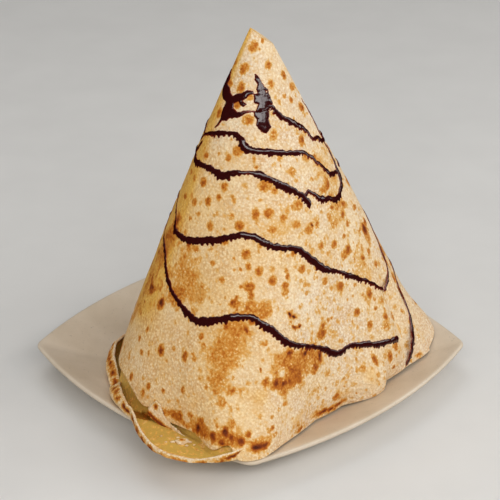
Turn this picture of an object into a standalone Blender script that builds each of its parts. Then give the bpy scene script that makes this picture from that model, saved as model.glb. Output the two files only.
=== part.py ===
"""Tissue prata on a square plate.

Paper-thin crisp flatbread is rolled into a tall hollow cone that stands, open side down, in a
shallow pillow-shaped plate. Chocolate sauce is trailed round it. The origin is the middle of
the plate's foot, and the front corner of the plate points to -Y.

Azimuths are in degrees about the cone's upright axis, 0 towards +X and 270 towards -Y.
"""
import math

import bmesh
import bpy
from mathutils import Matrix, Vector

MM = 0.001

# Plate: four bowed sides between rounded corners that point along X and Y
PLATE_DIAGONAL = 304 * MM       # corner to opposite corner, before the corners are rounded
SIDE_BOW = 18.3 * MM            # how far each side bows out of the straight line
CORNER_RADIUS = 10 * MM
CORNER_STEPS, SIDE_STEPS = 6, 12
RIM_HEIGHT = 24 * MM
# The dish from its middle to its rim, as (share of the way out, height in mm)
DISH = ((0, 7.2), (0.35, 7.6), (0.52, 8.6), (0.66, 10.8), (0.78, 14.5), (0.88, 19), (0.955, 22.8), (0.982, 23.9))
# The edge and the underside, from the rim down to the flat foot
UNDERSIDE = ((0.993, 24), (1, 22.8), (1, 21.4), (0.985, 19.6), (0.90, 14.6), (0.80, 9.6), (0.68, 5.2),
             (0.615, 3.4), (0.600, 0.7), (0.590, 0))

# Cone of bread
SHEET = 2 * MM                  # thickness of the crisp layers together
CLEARANCE = 0.6 * MM            # between the bread and the plate
BEAK = Vector((0.3, -21, 270)) * MM         # the pointed end of the tip
SHOULDER = Vector((15.5, -17, 257)) * MM    # the other end of the tip's slanting fold
TIP_HALF_WIDTH = 2.6 * MM
AXIS = Vector((0, -25, 0)) * MM
# How far the sheet reaches from the axis where it meets the plate, as (azimuth, mm)
REACH = ((0, 112), (10, 130), (22, 141), (35, 135), (50, 121), (70, 108), (90, 103), (120, 101), (150, 99),
         (180, 95), (205, 101), (225, 102), (238, 102), (250, 110), (259, 125), (266, 128), (273, 124),
         (283, 102), (294, 87), (306, 79), (322, 80), (336, 89), (348, 97))
# The rounder outline of the upper cone, scaled to the same foot, as (azimuth, mm)
BODY = ((0, 124), (22, 140), (40, 133), (65, 114), (90, 104), (130, 99), (180, 95), (205, 99), (235, 103),
        (265, 108), (295, 104), (325, 104), (345, 112))
BODY_END = 0.35                 # share of the way down where the foot's own outline starts to show
# How far the flanks bow out half-way down, as (azimuth, mm)
BELLY = ((15, -2), (60, 1), (110, 3), (180, 3), (230, 4), (270, 4), (320, 2))
# How far the lowest part of the sheet curls under, as (azimuth, mm)
CURL = ((0, 5), (20, 1), (90, 2), (180, 0), (270, 1), (300, 3), (330, 5), (345, 6))
CURL_START = 0.92
# How far the outer layer's bottom edge stands above the plate, as (azimuth, mm)
EDGE_RISE = ((0, 0), (130, 0), (150, 4), (160, 13), (175, 15), (190, 18), (205, 18), (215, 14), (225, 8),
             (231, 10), (238, 5), (250, 6), (258, 4.5), (263, 9), (267, 1), (272, 0))
SEAM_AZIMUTH = 10               # where the free side edge of the rolled sheet lies
SEAM_STEP = 1.8 * MM
COLUMN_ANGLE = 5
ROWS = (0, 0.05, 0.11, 0.18, 0.26, 0.34, 0.42, 0.50, 0.58, 0.66, 0.73, 0.80, 0.86, 0.91, 0.945, 0.975, 1)
INNER_ROWS = (0.10, 0.26, 0.42, 0.58, 0.73, 0.86, 0.945, 1)

# Inner layer that flares out below the raised edge, from the left side round to the front corner
LIP_SHEET = 1.6 * MM
LIP_ROLL = 2.5 * MM             # how far the lip bulges past its rim
# The rim's distance out of the cone and its height, as (azimuth, mm)
LIP_OUT = ((138, -1.2), (146, 3), (156, 5), (176, 7), (198, 8.5), (212, 10.5), (221, 9), (229, 13), (237, 24),
           (245, 29), (253, 21), (258, 9.5), (262, 3.8), (265, 0.5), (268, -1.2))
LIP_TOP = ((138, 24), (154, 22), (166, 24), (180, 29), (195, 33.5), (212, 36.5), (226, 35), (236, 32.5),
           (247, 29), (257, 29), (262, 31.5), (268, 33.5))
LIP_DEPTH = 3.4 * MM            # how far its hidden root hangs inside the outer face
LIP_COLUMNS, LIP_ROWS = 30, 9
# Second layer that shows below the raised edge at the front left, as (azimuth, mm below the edge)
FLAP_DROP = ((224, 0.5), (230, 6), (237, 7.5), (244, 6.5), (249, 0.5))
FLAP_SHEET = 1.2 * MM

# Chocolate: (name, width in mm, route as (azimuth, height in mm)); past 360 is a further turn
TRAILS = (
    ("tip_blot", 8.5, ((263, 243), (270, 236), (274, 226), (275, 211))),
    ("tip_side", 6, ((192, 236), (208, 230), (226, 222), (222, 213), (210, 206), (192, 200))),
    ("tip_arm", 4, ((220, 226), (241, 227), (265, 233))),
    ("first_ring", 4.6, ((222, 214), (237, 221), (257, 224), (273, 224), (304, 217), (324, 208), (344, 197),
                         (370, 188), (420, 192), (480, 199), (530, 203), (552, 200))),
    ("second_ring", 4.6, ((192, 200), (209, 203), (241, 208), (259, 200), (286, 200), (323, 190), (351, 169),
                          (368, 166))),
    ("side_run", 4, ((366, 207), (374, 190), (377, 177), (375, 165), (363, 157), (349, 152), (339, 157),
                     (318, 163))),
    ("third_ring", 4.6, ((192, 200), (187, 190), (196, 182), (221, 185), (239, 186), (262, 187), (284, 181),
                         (311, 161))),
    ("third_ring_back", 4.4, ((188, 187), (160, 182), (120, 177), (70, 172), (15, 165))),
    ("fourth_ring", 5, ((182, 151), (200, 147), (207, 139), (224, 139), (246, 150), (266, 152), (280, 143),
                        (298, 136), (309, 126), (328, 111), (349, 94), (359, 79))),
    ("fourth_ring_back", 4.6, ((359, 79), (366, 84), (375, 98), (379, 112), (385, 125), (420, 135), (470, 143),
                               (542, 151))),
    ("fifth_ring", 5, ((176, 136), (192, 130), (206, 121), (222, 110), (235, 99), (246, 97), (262, 107),
                       (273, 100), (287, 82), (300, 72), (319, 57), (330, 60), (346, 49), (358, 43))),
    ("fifth_ring_back", 4.6, ((176, 136), (150, 124), (100, 102), (50, 82), (16, 66), (12, 56), (6, 42),
                              (1, 28))),
)
TRAIL_HEIGHT = 1.5 * MM
TRAIL_ROOT = 0.9 * MM           # how deep a trail is sunk in the bread
TRAIL_STEP = 9 * MM


def between(stops, x):
    """Straight-line value at x in a rising list of (x, value)."""
    for (x0, v0), (x1, v1) in zip(stops, stops[1:]):
        if x <= x1:
            return v0 + (v1 - v0) * (x - x0) / (x1 - x0)
    return stops[-1][1]


def gentle_slope(before, after):
    """Slope at a stop that never overshoots: flat at a peak, the harmonic mean elsewhere."""
    return 0 if before * after <= 0 else 2 * before * after / (before + after)


def round_trip(stops, azimuth):
    """Smooth value at an azimuth in a list of (azimuth, value) that closes on itself."""
    azimuth %= 360
    count = len(stops)
    after = next((i for i, stop in enumerate(stops) if stop[0] > azimuth), count)
    picked = []
    for i in range(after - 2, after + 2):
        turns, at = divmod(i, count)
        picked.append((stops[at][0] + 360 * turns, stops[at][1]))
    (a0, v0), (a1, v1), (a2, v2), (a3, v3) = picked
    span = a2 - a1
    slope = (v2 - v1) / span
    start = gentle_slope((v1 - v0) / (a1 - a0), slope) * span
    end = gentle_slope(slope, (v3 - v2) / (a3 - a2)) * span
    t = (azimuth - a1) / span
    ease = t * t * (3 - 2 * t)
    return v1 * (1 - ease) + v2 * ease + start * t * (1 - t) ** 2 - end * t * t * (1 - t)


def smooth_route(points, step):
    """Points about a step apart on a smooth curve through a list of points."""
    ends = [2 * points[0] - points[1], *points, 2 * points[-1] - points[-2]]
    route = []
    for p0, p1, p2, p3 in zip(ends, ends[1:], ends[2:], ends[3:]):
        count = max(1, round((p2 - p1).length / step))
        for i in range(count):
            t = i / count
            route.append(0.5 * (2 * p1 + (p2 - p0) * t + (2 * p0 - 5 * p1 + 4 * p2 - p3) * t ** 2
                                + (3 * p1 - p0 - 3 * p2 + p3) * t ** 3))
    return route + [points[-1]]


def radial(azimuth, length=1.0):
    turn = math.radians(azimuth)
    return Vector((math.cos(turn), math.sin(turn), 0)) * length


# ---- Plate ----

def side_arc():
    """Radius of the arc of a side, and how far its centre lies behind the plate's middle."""
    half_side = PLATE_DIAGONAL / 2 / math.sqrt(2)
    radius = (half_side ** 2 + SIDE_BOW ** 2) / (2 * SIDE_BOW)
    return radius, radius - half_side - SIDE_BOW


def plate_reach(azimuth):
    """Distance from the plate's middle to its edge, before the corners are rounded."""
    radius, behind = side_arc()
    turn = math.radians(azimuth % 90 - 45)
    return math.sqrt(radius ** 2 - (behind * math.sin(turn)) ** 2) - behind * math.cos(turn)


def plate_outline():
    """The plate's edge seen from above: a rounded corner and then a bowed side, four times."""
    radius, behind = side_arc()
    side_centre = Vector((-behind, -behind, 0)) / math.sqrt(2)
    corner_x = math.sqrt((radius - CORNER_RADIUS) ** 2 - side_centre.y ** 2) + side_centre.x
    corner_centre = Vector((corner_x, 0, 0))
    toward_corner = corner_centre - side_centre
    meet = math.degrees(math.atan2(toward_corner.y, toward_corner.x))
    quarter = [corner_centre + radial(meet * (2 * i / CORNER_STEPS - 1), CORNER_RADIUS)
               for i in range(CORNER_STEPS)]
    quarter += [side_centre + radial(meet + (90 - 2 * meet) * i / SIDE_STEPS, radius)
                for i in range(SIDE_STEPS)]
    return [Matrix.Rotation(math.radians(90 * i), 4, "Z") @ point for i in range(4) for point in quarter]


def plate_top(point):
    """Height of the dish under a point, and of the rim past it."""
    share = math.hypot(point.x, point.y) / plate_reach(math.degrees(math.atan2(point.y, point.x)))
    return between(DISH, share) * MM if share < DISH[-1][0] else RIM_HEIGHT


def plate_mesh():
    bm = bmesh.new()
    outline = plate_outline()
    rings = []
    for share, height in DISH[1:] + UNDERSIDE:
        rings.append([bm.verts.new((p.x * share, p.y * share, height * MM)) for p in outline])
    for upper, lower in zip(rings, rings[1:]):
        join_rows(bm, lower, upper, closed=True)
    middle = bm.verts.new((0, 0, DISH[0][1] * MM))
    fan(bm, rings[0], middle)
    bm.faces.new(reversed(rings[-1]))
    return bm


# ---- Bread ----

def tip_point(azimuth):
    """Point on the slanting fold that closes the tip, between the beak and the shoulder."""
    turn = math.radians(azimuth)
    along = (SHOULDER - BEAK) / 2 * math.cos(turn)
    return (BEAK + SHOULDER) / 2 + along + Vector((0, TIP_HALF_WIDTH * math.sin(turn), 0))


def foot_point(azimuth):
    """Where the outer face of the sheet would meet the plate."""
    point = AXIS + radial(azimuth, round_trip(REACH, azimuth) * MM)
    point.z = plate_top(point) + CLEARANCE + SHEET / 2
    return point


def skin(azimuth, fall, rolled=True):
    """Point on the outer face of the cone: fall is 0 at the tip and 1 at the plate.

    Rolled adds the overlap of the sheet, which grows round the cone and ends at the seam.
    """
    out = radial(azimuth)
    point = tip_point(azimuth).lerp(foot_point(azimuth), fall)
    show = min(1, max(0, (fall - BODY_END) / (1 - BODY_END)))
    body = (round_trip(BODY, azimuth) - round_trip(REACH, azimuth)) * MM
    point += out * body * fall * (1 - show * show * (3 - 2 * show))
    point += out * round_trip(BELLY, azimuth) * MM * 4 * fall * (1 - fall)
    if rolled:
        point += out * SEAM_STEP * ((azimuth - SEAM_AZIMUTH) % 360 / 360) * min(1, 5 * fall)
    curl = max(0, (fall - CURL_START) / (1 - CURL_START))
    return point - out * round_trip(CURL, azimuth) * MM * curl ** 2


def skin_normal(azimuth, fall):
    """Outward direction of the outer face."""
    at = min(max(fall, 0.03), 0.99)
    along = skin(azimuth + 0.5, at, False) - skin(azimuth - 0.5, at, False)
    down = skin(azimuth, at + 0.01, False) - skin(azimuth, at - 0.01, False)
    return down.cross(along).normalized()


def lining(azimuth, fall, depth=SHEET):
    """Point a depth inside the outer face, kept clear of the plate."""
    point = skin(azimuth, fall, False) - skin_normal(azimuth, fall) * depth
    point.z = max(point.z, plate_top(point) + CLEARANCE)
    return point


def fall_at(azimuth, height):
    """How far down the cone a height lies."""
    top, foot = tip_point(azimuth).z, foot_point(azimuth).z
    return (top - height) / (top - foot)


def edge_fall(azimuth):
    """How far down the cone the outer layer's bottom edge lies."""
    return fall_at(azimuth, foot_point(azimuth).z + round_trip(EDGE_RISE, azimuth) * MM)


def join_rows(bm, row, next_row, closed=False):
    """Quads between two rows of vertices, facing out where the rows run to the right."""
    count = len(row)
    for i in range(count if closed else count - 1):
        j = (i + 1) % count
        bm.faces.new((row[i], row[j], next_row[j], next_row[i]))


def fan(bm, ring, middle):
    for i, vert in enumerate(ring):
        bm.faces.new((vert, ring[(i + 1) % len(ring)], middle))


def cone_mesh():
    """The rolled sheet: outer face, lining, and the edge between them, closed at the tip."""
    bm = bmesh.new()
    azimuths = sorted({*range(0, 360, COLUMN_ANGLE), SEAM_AZIMUTH - 0.7})
    outer = [[bm.verts.new(skin(a, fall * edge_fall(a))) for a in azimuths] for fall in ROWS]
    inner = [[bm.verts.new(lining(a, fall * edge_fall(a))) for a in azimuths] for fall in INNER_ROWS]
    for upper, lower in zip(outer, outer[1:]):
        join_rows(bm, lower, upper, closed=True)
    for upper, lower in zip(inner, inner[1:]):
        join_rows(bm, upper, lower, closed=True)
    join_rows(bm, inner[-1], outer[-1], closed=True)
    bm.faces.new(outer[0])
    ceiling = bm.verts.new(sum((vert.co for vert in inner[0]), Vector()) / len(azimuths))
    fan(bm, inner[0][::-1], ceiling)
    return bm


def strip_mesh(sections, thickness):
    """A thin strip swept through centre lines that lie in upright planes."""
    bm = bmesh.new()
    sides = [[], []]
    for azimuth, line in sections:
        across = radial(azimuth + 90)
        for side, rows in zip((1, -1), sides):
            row = []
            for i, point in enumerate(line):
                along = line[min(i + 1, len(line) - 1)] - line[max(i - 1, 0)]
                out = across.cross(along).normalized()
                row.append(bm.verts.new(point + out * side * thickness / 2))
            rows.append(row)
    front, back = sides
    for row, next_row in zip(front, front[1:]):
        join_rows(bm, row, next_row)
    for row, next_row in zip(back, back[1:]):
        join_rows(bm, next_row, row)
    for row, other in ((front[0], back[0]), (back[-1], front[-1])):
        join_rows(bm, other, row)
    for end in (0, -1):
        join_rows(bm, [row[end] for row in front], [row[end] for row in back])
    bmesh.ops.recalc_face_normals(bm, faces=bm.faces)
    return bm


def lip_section(azimuth):
    """The lip's centre line: from its root inside the cone, down, and out and up to its rim."""
    out = radial(azimuth)
    edge = edge_fall(azimuth)
    stand_off = round_trip(LIP_OUT, azimuth) * MM
    rim = skin(azimuth, fall_at(azimuth, round_trip(LIP_TOP, azimuth) * MM)) + out * stand_off
    foot = foot_point(azimuth)
    reach = max((rim - foot).dot(out) + LIP_ROLL, stand_off / 2)
    inner = foot - out * LIP_DEPTH
    belly = foot + out * reach
    floor = [inner, inner.lerp(belly, 0.6), belly]
    for point, lift in zip(floor, (0, 0, LIP_ROLL)):
        point.z = lip_floor(point) + lift
    root = [lining(azimuth, edge - 0.07, SHEET / 2), lining(azimuth, edge - 0.035, LIP_DEPTH)]
    line = evenly(smooth_route([*root, *floor, rim], 2 * MM), LIP_ROWS)
    for point in line:
        point.z = max(point.z, lip_floor(point))
    return line


def lip_floor(point):
    """Lowest height of the lip's centre line, clear of the plate."""
    return plate_top(point) + CLEARANCE + LIP_SHEET * 0.7


def lip_mesh():
    first, last = LIP_OUT[0][0], LIP_OUT[-1][0]
    sections = []
    for i in range(LIP_COLUMNS + 1):
        azimuth = first + (last - first) * i / LIP_COLUMNS
        sections.append((azimuth, lip_section(azimuth)))
    return strip_mesh(sections, LIP_SHEET)


def evenly(line, count):
    """A number of points spread evenly along a line."""
    lengths = [0]
    for a, b in zip(line, line[1:]):
        lengths.append(lengths[-1] + (b - a).length)
    points = []
    for i in range(count + 1):
        want = lengths[-1] * i / count
        at = next((j for j in range(1, len(line)) if lengths[j] >= want - 1e-9), len(line) - 1)
        span = lengths[at] - lengths[at - 1]
        points.append(line[at - 1].lerp(line[at], (want - lengths[at - 1]) / span if span else 0))
    return points


def flap_mesh():
    first, last = FLAP_DROP[0][0], FLAP_DROP[-1][0]
    sections = []
    for azimuth in range(first, last + 1, COLUMN_ANGLE):
        edge = edge_fall(azimuth)
        drop = round_trip(FLAP_DROP, azimuth) * MM / (tip_point(azimuth) - foot_point(azimuth)).length
        places = ((edge - 0.03, 1.0), (edge - 0.003, 1.7), (edge + drop, 1.7))
        line = [lining(azimuth, fall, depth * MM) for fall, depth in places]
        line[-1].z = max(line[-1].z, lip_floor(line[-1]))
        sections.append((azimuth, line))
    return strip_mesh(sections, FLAP_SHEET)


def trail_mesh(width, route):
    """A rounded ridge of sauce along a route of azimuths and heights, sunk into the skin."""
    bm = bmesh.new()
    on_skin = [skin(a, fall_at(a, h * MM)) for a, h in route]
    total = sum((b - a).length for a, b in zip(on_skin, on_skin[1:]))
    steps = [Vector((a, h, 0)) for a, h in route]
    path = evenly(smooth_route(steps, 2), max(3, round(total / TRAIL_STEP)))
    places = []
    for stop in path:
        fall = fall_at(stop.x, stop.y * MM)
        places.append((skin(stop.x, fall), skin_normal(stop.x, fall)))
    rows = []
    for i, (point, out) in enumerate(places):
        along = places[min(i + 1, len(places) - 1)][0] - places[max(i - 1, 0)][0]
        across = along.cross(out).normalized() * width * MM / 2
        swell = 1 + 0.22 * math.sin(1.9 * i) if 0 < i < len(places) - 1 else 0.6
        top = out * TRAIL_HEIGHT * swell
        corners = (point - across * swell - out * TRAIL_ROOT, point - across * 0.5 * swell + top,
                   point + across * 0.5 * swell + top, point + across * swell - out * TRAIL_ROOT)
        rows.append([bm.verts.new(corner) for corner in corners])
    for row, next_row in zip(rows, rows[1:]):
        join_rows(bm, row, next_row, closed=True)
    bm.faces.new(rows[0])
    bm.faces.new(rows[-1])
    bmesh.ops.recalc_face_normals(bm, faces=bm.faces)
    return bm


# ---- Objects ----

def material(name, colour, roughness):
    made = bpy.data.materials.new(name)
    made.use_nodes = True
    shader = made.node_tree.nodes["Principled BSDF"]
    shader.inputs["Base Color"].default_value = (*colour, 1)
    shader.inputs["Roughness"].default_value = roughness
    return made


def mesh_object(name, bm, finish=None, crease=40):
    mesh = bpy.data.meshes.new(name)
    bm.to_mesh(mesh)
    bm.free()
    mesh.shade_smooth()
    mesh.set_sharp_from_angle(angle=math.radians(crease))
    if finish:
        mesh.materials.append(finish)
    made = bpy.data.objects.new(name, mesh)
    bpy.context.scene.collection.objects.link(made)
    return made


def fuse(body, pieces):
    """Join pieces to a body by one Boolean union on their collection."""
    group = bpy.data.collections.new(body.name + "_pieces")
    bpy.context.scene.collection.children.link(group)
    for piece in pieces:
        bpy.context.scene.collection.objects.unlink(piece)
        group.objects.link(piece)
    union = body.modifiers.new("union", "BOOLEAN")
    union.operand_type = "COLLECTION"
    union.operation = "UNION"
    union.solver = "MANIFOLD"
    union.collection = group
    joined = bpy.data.meshes.new_from_object(body.evaluated_get(bpy.context.evaluated_depsgraph_get()))
    body.modifiers.clear()
    body.data = joined
    keep_largest_shell(joined)
    for piece in pieces:
        bpy.data.objects.remove(piece)
    bpy.data.collections.remove(group)


def keep_largest_shell(mesh):
    """Drop every loose scrap or sealed pocket that a union has left."""
    bm = bmesh.new()
    bm.from_mesh(mesh)
    shells = []
    left = set(bm.verts)
    while left:
        shell = [left.pop()]
        for vert in shell:
            for edge in vert.link_edges:
                other = edge.other_vert(vert)
                if other in left:
                    left.remove(other)
                    shell.append(other)
        shells.append(shell)
    shells.sort(key=len)
    bmesh.ops.delete(bm, geom=[vert for shell in shells[:-1] for vert in shell], context="VERTS")
    bm.to_mesh(mesh)
    bm.free()


def main():
    for old in list(bpy.data.objects):
        bpy.data.objects.remove(old)
    mesh_object("plate", plate_mesh(), material("cream_stoneware", (0.60, 0.53, 0.43), 0.45))
    bread = mesh_object("prata", cone_mesh(), material("crisp_bread", (0.72, 0.50, 0.26), 0.75))
    pieces = [mesh_object("lip", lip_mesh()), mesh_object("flap", flap_mesh())]
    pieces += [mesh_object(name, trail_mesh(width, route)) for name, width, route in TRAILS]
    fuse(bread, pieces)


main()
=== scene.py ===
"""Tissue prata on a square plate.

Paper-thin crisp flatbread is rolled into a tall hollow cone that stands, open side down, in a
shallow pillow-shaped plate, with chocolate sauce trailed round it. The origin is the middle of
the plate's foot, and the front corner of the plate points to -Y.

Lengths are in millimetres, and the studio's in metres. Azimuths are in degrees about the cone's
upright axis, 0 towards +X and 270 towards -Y. Fall is how far down the cone a point lies, 0 at the
tip and 1 at the plate.
"""
import math
import random

import bpy
import numpy as np
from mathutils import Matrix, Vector, noise


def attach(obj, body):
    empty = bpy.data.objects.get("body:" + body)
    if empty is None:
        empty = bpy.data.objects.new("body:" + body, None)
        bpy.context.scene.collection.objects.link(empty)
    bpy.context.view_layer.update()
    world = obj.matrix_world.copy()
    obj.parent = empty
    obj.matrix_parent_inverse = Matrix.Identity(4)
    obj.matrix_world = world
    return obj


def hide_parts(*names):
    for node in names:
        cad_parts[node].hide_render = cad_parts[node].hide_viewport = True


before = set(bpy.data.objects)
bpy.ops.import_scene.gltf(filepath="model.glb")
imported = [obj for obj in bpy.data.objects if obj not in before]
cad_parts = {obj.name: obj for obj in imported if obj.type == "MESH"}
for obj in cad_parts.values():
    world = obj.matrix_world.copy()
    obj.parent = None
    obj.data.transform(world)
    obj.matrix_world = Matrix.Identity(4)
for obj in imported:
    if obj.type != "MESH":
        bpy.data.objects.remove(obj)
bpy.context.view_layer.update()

MM = 0.001
SLANT = 1.08                    # how much longer the cone's side is than its height

# Plate
PLATE_DIAGONAL = 304            # corner to corner, before the corners are rounded
SIDE_BOW = 18.3                 # how far the middle of a side stands out
CORNER_RADIUS = 10
CORNER_STEPS, SIDE_STEPS = 6, 12
RIM_HEIGHT = 24
# The dish from its middle to its rim, as (share of the way out, height)
DISH = (
    (0, 7.2), (0.35, 7.6), (0.52, 8.6), (0.66, 10.8), (0.78, 14.5), (0.88, 19), (0.955, 22.8),
    (0.982, 23.9),
)
# The edge and the underside, from the rim down to the flat foot
UNDERSIDE = (
    (0.993, 24), (1, 22.8), (1, 21.4), (0.985, 19.6), (0.90, 14.6), (0.80, 9.6), (0.68, 5.2),
    (0.615, 3.4), (0.600, 0.7), (0.590, 0),
)

# Cone of bread
SHEET = 2                       # thickness of the crisp layers together
CLEARANCE = 0.6                 # between the bread and the plate
BEAK = np.array((0.3, -21, 270))        # the two ends of the slanting fold that closes the tip
SHOULDER = np.array((15.5, -17, 257))
TIP_HALF_WIDTH = 2.6
AXIS = np.array((0, -25, 0))    # where the cone's upright axis meets the ground
# How far the sheet reaches from the axis where it meets the plate, as (azimuth, mm)
REACH = (
    (0, 112), (10, 130), (22, 141), (35, 135), (50, 121), (70, 108), (90, 103), (120, 101), (150, 99),
    (180, 95), (205, 101), (225, 102), (238, 102), (250, 110), (259, 125), (266, 128), (273, 124),
    (283, 102), (294, 87), (306, 79), (322, 80), (336, 89), (348, 97),
)
# The rounder outline of the upper cone, scaled to the same foot
BODY = (
    (0, 124), (22, 140), (40, 133), (65, 114), (90, 104), (130, 99), (180, 95), (205, 99), (235, 103),
    (265, 108), (295, 104), (325, 104), (345, 112),
)
BODY_END = 0.35                 # the fall from which the foot's own outline starts to show
# How far the side bows out halfway down, and how far the bottom edge curls in
BELLY = ((15, -2), (60, 1), (110, 3), (180, 3), (230, 4), (270, 4), (320, 2))
CURL = ((0, 5), (20, 1), (90, 2), (180, 0), (270, 1), (300, 3), (330, 5), (345, 6))
CURL_START = 0.92
# How far the outer layer's bottom edge stands above the plate
EDGE_RISE = (
    (0, 0), (130, 0), (150, 4), (160, 13), (175, 15), (190, 18), (205, 18), (215, 14), (225, 8),
    (231, 10), (238, 5), (250, 6), (258, 4.5), (263, 9), (267, 1), (272, 0),
)
SEAM_AZIMUTH = 10               # where the free side edge of the rolled sheet lies
SEAM_STEP = 1.8                 # how far the free edge stands out from the layer below
SEAM_TUCK = 3                   # degrees that the sheet's start reaches in under its free edge
FOOT_SWELL = 7                  # how far the foot bulges over the plate between the next two azimuths
SWELL_START, SWELL_END = 322, 351
CREASE_AZIMUTH = 2              # where the foot is creased inwards
CREASE_DEPTH, CREASE_WIDTH = 3.6, 3.6   # in mm and in degrees
STEADY_FALL = 0.99              # the sheet's direction is read no lower down than this

# Inner layer that flares out below the raised edge
LIP_SHEET = 1.6
LIP_ROLL = 0.6                  # how far its belly reaches past its rim, and stands off the plate
LIP_DEPTH = 3.4                 # how far its root lies inside the outer face


# ---- Shape of the plate and of the cone ----

def between(stops, x):
    """Straight-line value at x in a rising list of (x, value)."""
    return np.interp(x, *zip(*stops))


def ease(share):
    """Smooth step from 0 to 1."""
    share = np.clip(share, 0, 1)
    return share * share * (3 - 2 * share)


def around(stops, azimuth):
    """Smooth value at an azimuth in a list of (azimuth, value) that closes on itself."""
    at = np.array([stop[0] for stop in stops], float)
    value = np.tile([stop[1] for stop in stops], 3)
    at = np.concatenate((at - 360, at, at + 360))
    span = np.diff(at)
    slope = np.diff(value) / span
    product = slope[:-1] * slope[1:]
    total = slope[:-1] + slope[1:]
    gentle = np.where(product > 0, 2 * product / np.where(product > 0, total, 1), 0)
    tangent = np.concatenate(([0], gentle, [0]))
    azimuth = np.asarray(azimuth, float) % 360
    i = np.searchsorted(at, azimuth, side="right") - 1
    t = (azimuth - at[i]) / span[i]
    blend = t * t * (3 - 2 * t)
    lean = tangent[i] * span[i] * t * (1 - t) ** 2 - tangent[i + 1] * span[i] * t * t * (1 - t)
    return value[i] * (1 - blend) + value[i + 1] * blend + lean


def radial(azimuth):
    """Level direction outwards at an azimuth."""
    turn = np.radians(azimuth)
    return np.stack((np.cos(turn), np.sin(turn), np.zeros_like(turn)), -1)


def side_arc():
    """Radius of the arc of a side, and how far its centre lies behind the plate's middle."""
    half_side = PLATE_DIAGONAL / 2 / math.sqrt(2)
    radius = (half_side ** 2 + SIDE_BOW ** 2) / (2 * SIDE_BOW)
    return radius, radius - half_side - SIDE_BOW


def plate_reach(azimuth):
    """Distance from the plate's middle to its edge, before the corners are rounded."""
    radius, behind = side_arc()
    turn = np.radians(azimuth % 90 - 45)
    return np.sqrt(radius ** 2 - (behind * np.sin(turn)) ** 2) - behind * np.cos(turn)


def plate_outline():
    """The plate's edge seen from above: a rounded corner and then a bowed side, four times."""
    radius, behind = side_arc()
    side_centre = Vector((-behind, -behind)) / math.sqrt(2)
    corner_x = math.sqrt((radius - CORNER_RADIUS) ** 2 - side_centre.y ** 2) + side_centre.x
    corner_centre = Vector((corner_x, 0))
    meet = math.degrees(math.atan2(-side_centre.y, corner_x - side_centre.x))
    outline = []
    for quarter in range(4):
        for i in range(CORNER_STEPS + SIDE_STEPS):
            if i < CORNER_STEPS:
                centre, reach, turn = corner_centre, CORNER_RADIUS, meet * (2 * i / CORNER_STEPS - 1)
            else:
                share = (i - CORNER_STEPS) / SIDE_STEPS
                centre, reach, turn = side_centre, radius, meet + (90 - 2 * meet) * share
            turn = math.radians(turn)
            spot = centre + Vector((math.cos(turn), math.sin(turn))) * reach
            whole = math.radians(90 * quarter)
            outline.append((spot.x * math.cos(whole) - spot.y * math.sin(whole),
                            spot.x * math.sin(whole) + spot.y * math.cos(whole)))
    return np.array(outline)


def plate_top(point):
    """Height of the dish under a point, and of the rim past it."""
    azimuth = np.degrees(np.arctan2(point[..., 1], point[..., 0]))
    share = np.hypot(point[..., 0], point[..., 1]) / plate_reach(azimuth)
    return np.where(share < DISH[-1][0], between(DISH, share), RIM_HEIGHT)


def tip_point(azimuth):
    """Point on the slanting fold that closes the tip, between the beak and the shoulder."""
    turn = np.radians(azimuth)
    point = (BEAK + SHOULDER) / 2 + (SHOULDER - BEAK) / 2 * np.cos(turn)[..., None]
    point[..., 1] += TIP_HALF_WIDTH * np.sin(turn)
    return point


def foot_point(azimuth):
    """Where the outer face of the sheet would meet the plate."""
    point = AXIS + radial(azimuth) * around(REACH, azimuth)[..., None]
    point[..., 2] = plate_top(point) + CLEARANCE + SHEET / 2
    return point


def skin(azimuth, fall, roll=None):
    """Point on the outer face of the cone.

    Roll is how much of the sheet's overlap lies under the point, 0 where the sheet starts and 1 at
    its free edge.
    """
    azimuth, fall = np.broadcast_arrays(np.asarray(azimuth, float), np.asarray(fall, float))
    if roll is None:
        roll = (azimuth - SEAM_AZIMUTH) % 360 / 360
    tip = tip_point(azimuth)
    point = tip + (foot_point(azimuth) - tip) * fall[..., None]
    show = ease((fall - BODY_END) / (1 - BODY_END))
    out = (around(BODY, azimuth) - around(REACH, azimuth)) * fall * (1 - show)
    softer = (around(REACH, azimuth - 14) + around(REACH, azimuth + 14)) / 2 - around(REACH, azimuth)
    out += 0.7 * softer * fall * show * (1 - ease((fall - 0.82) / 0.18))
    round_it = azimuth % 360
    swell = ease((round_it - SWELL_START) / 18) * ease((SWELL_END - round_it) / 9)
    out += FOOT_SWELL * swell * ease((fall - 0.86) / 0.14)
    out += around(BELLY, azimuth) * 4 * fall * (1 - fall)
    out += SEAM_STEP * roll * np.minimum(1, 5 * fall)
    out -= around(CURL, azimuth) * np.maximum(0, (fall - CURL_START) / (1 - CURL_START)) ** 2
    return point + radial(azimuth) * out[..., None]


def unit(vector):
    """A direction one unit long."""
    return vector / np.linalg.norm(vector, axis=-1, keepdims=True)


def skin_normal(azimuth, fall):
    """Outward direction of the outer face."""
    azimuth = np.asarray(azimuth, float)
    at = np.clip(fall, 0.03, STEADY_FALL)
    along = skin(azimuth + 0.5, at, 0) - skin(azimuth - 0.5, at, 0)
    down = skin(azimuth, at + 0.01, 0) - skin(azimuth, at - 0.01, 0)
    return unit(np.cross(down, along))


def lining(azimuth, fall, depth=SHEET):
    """Point a depth inside the outer face, kept clear of the plate."""
    point = skin(azimuth, fall, 0) - skin_normal(azimuth, fall) * np.asarray(depth)[..., None]
    point[..., 2] = np.maximum(point[..., 2], plate_top(point) + CLEARANCE)
    return point


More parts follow.
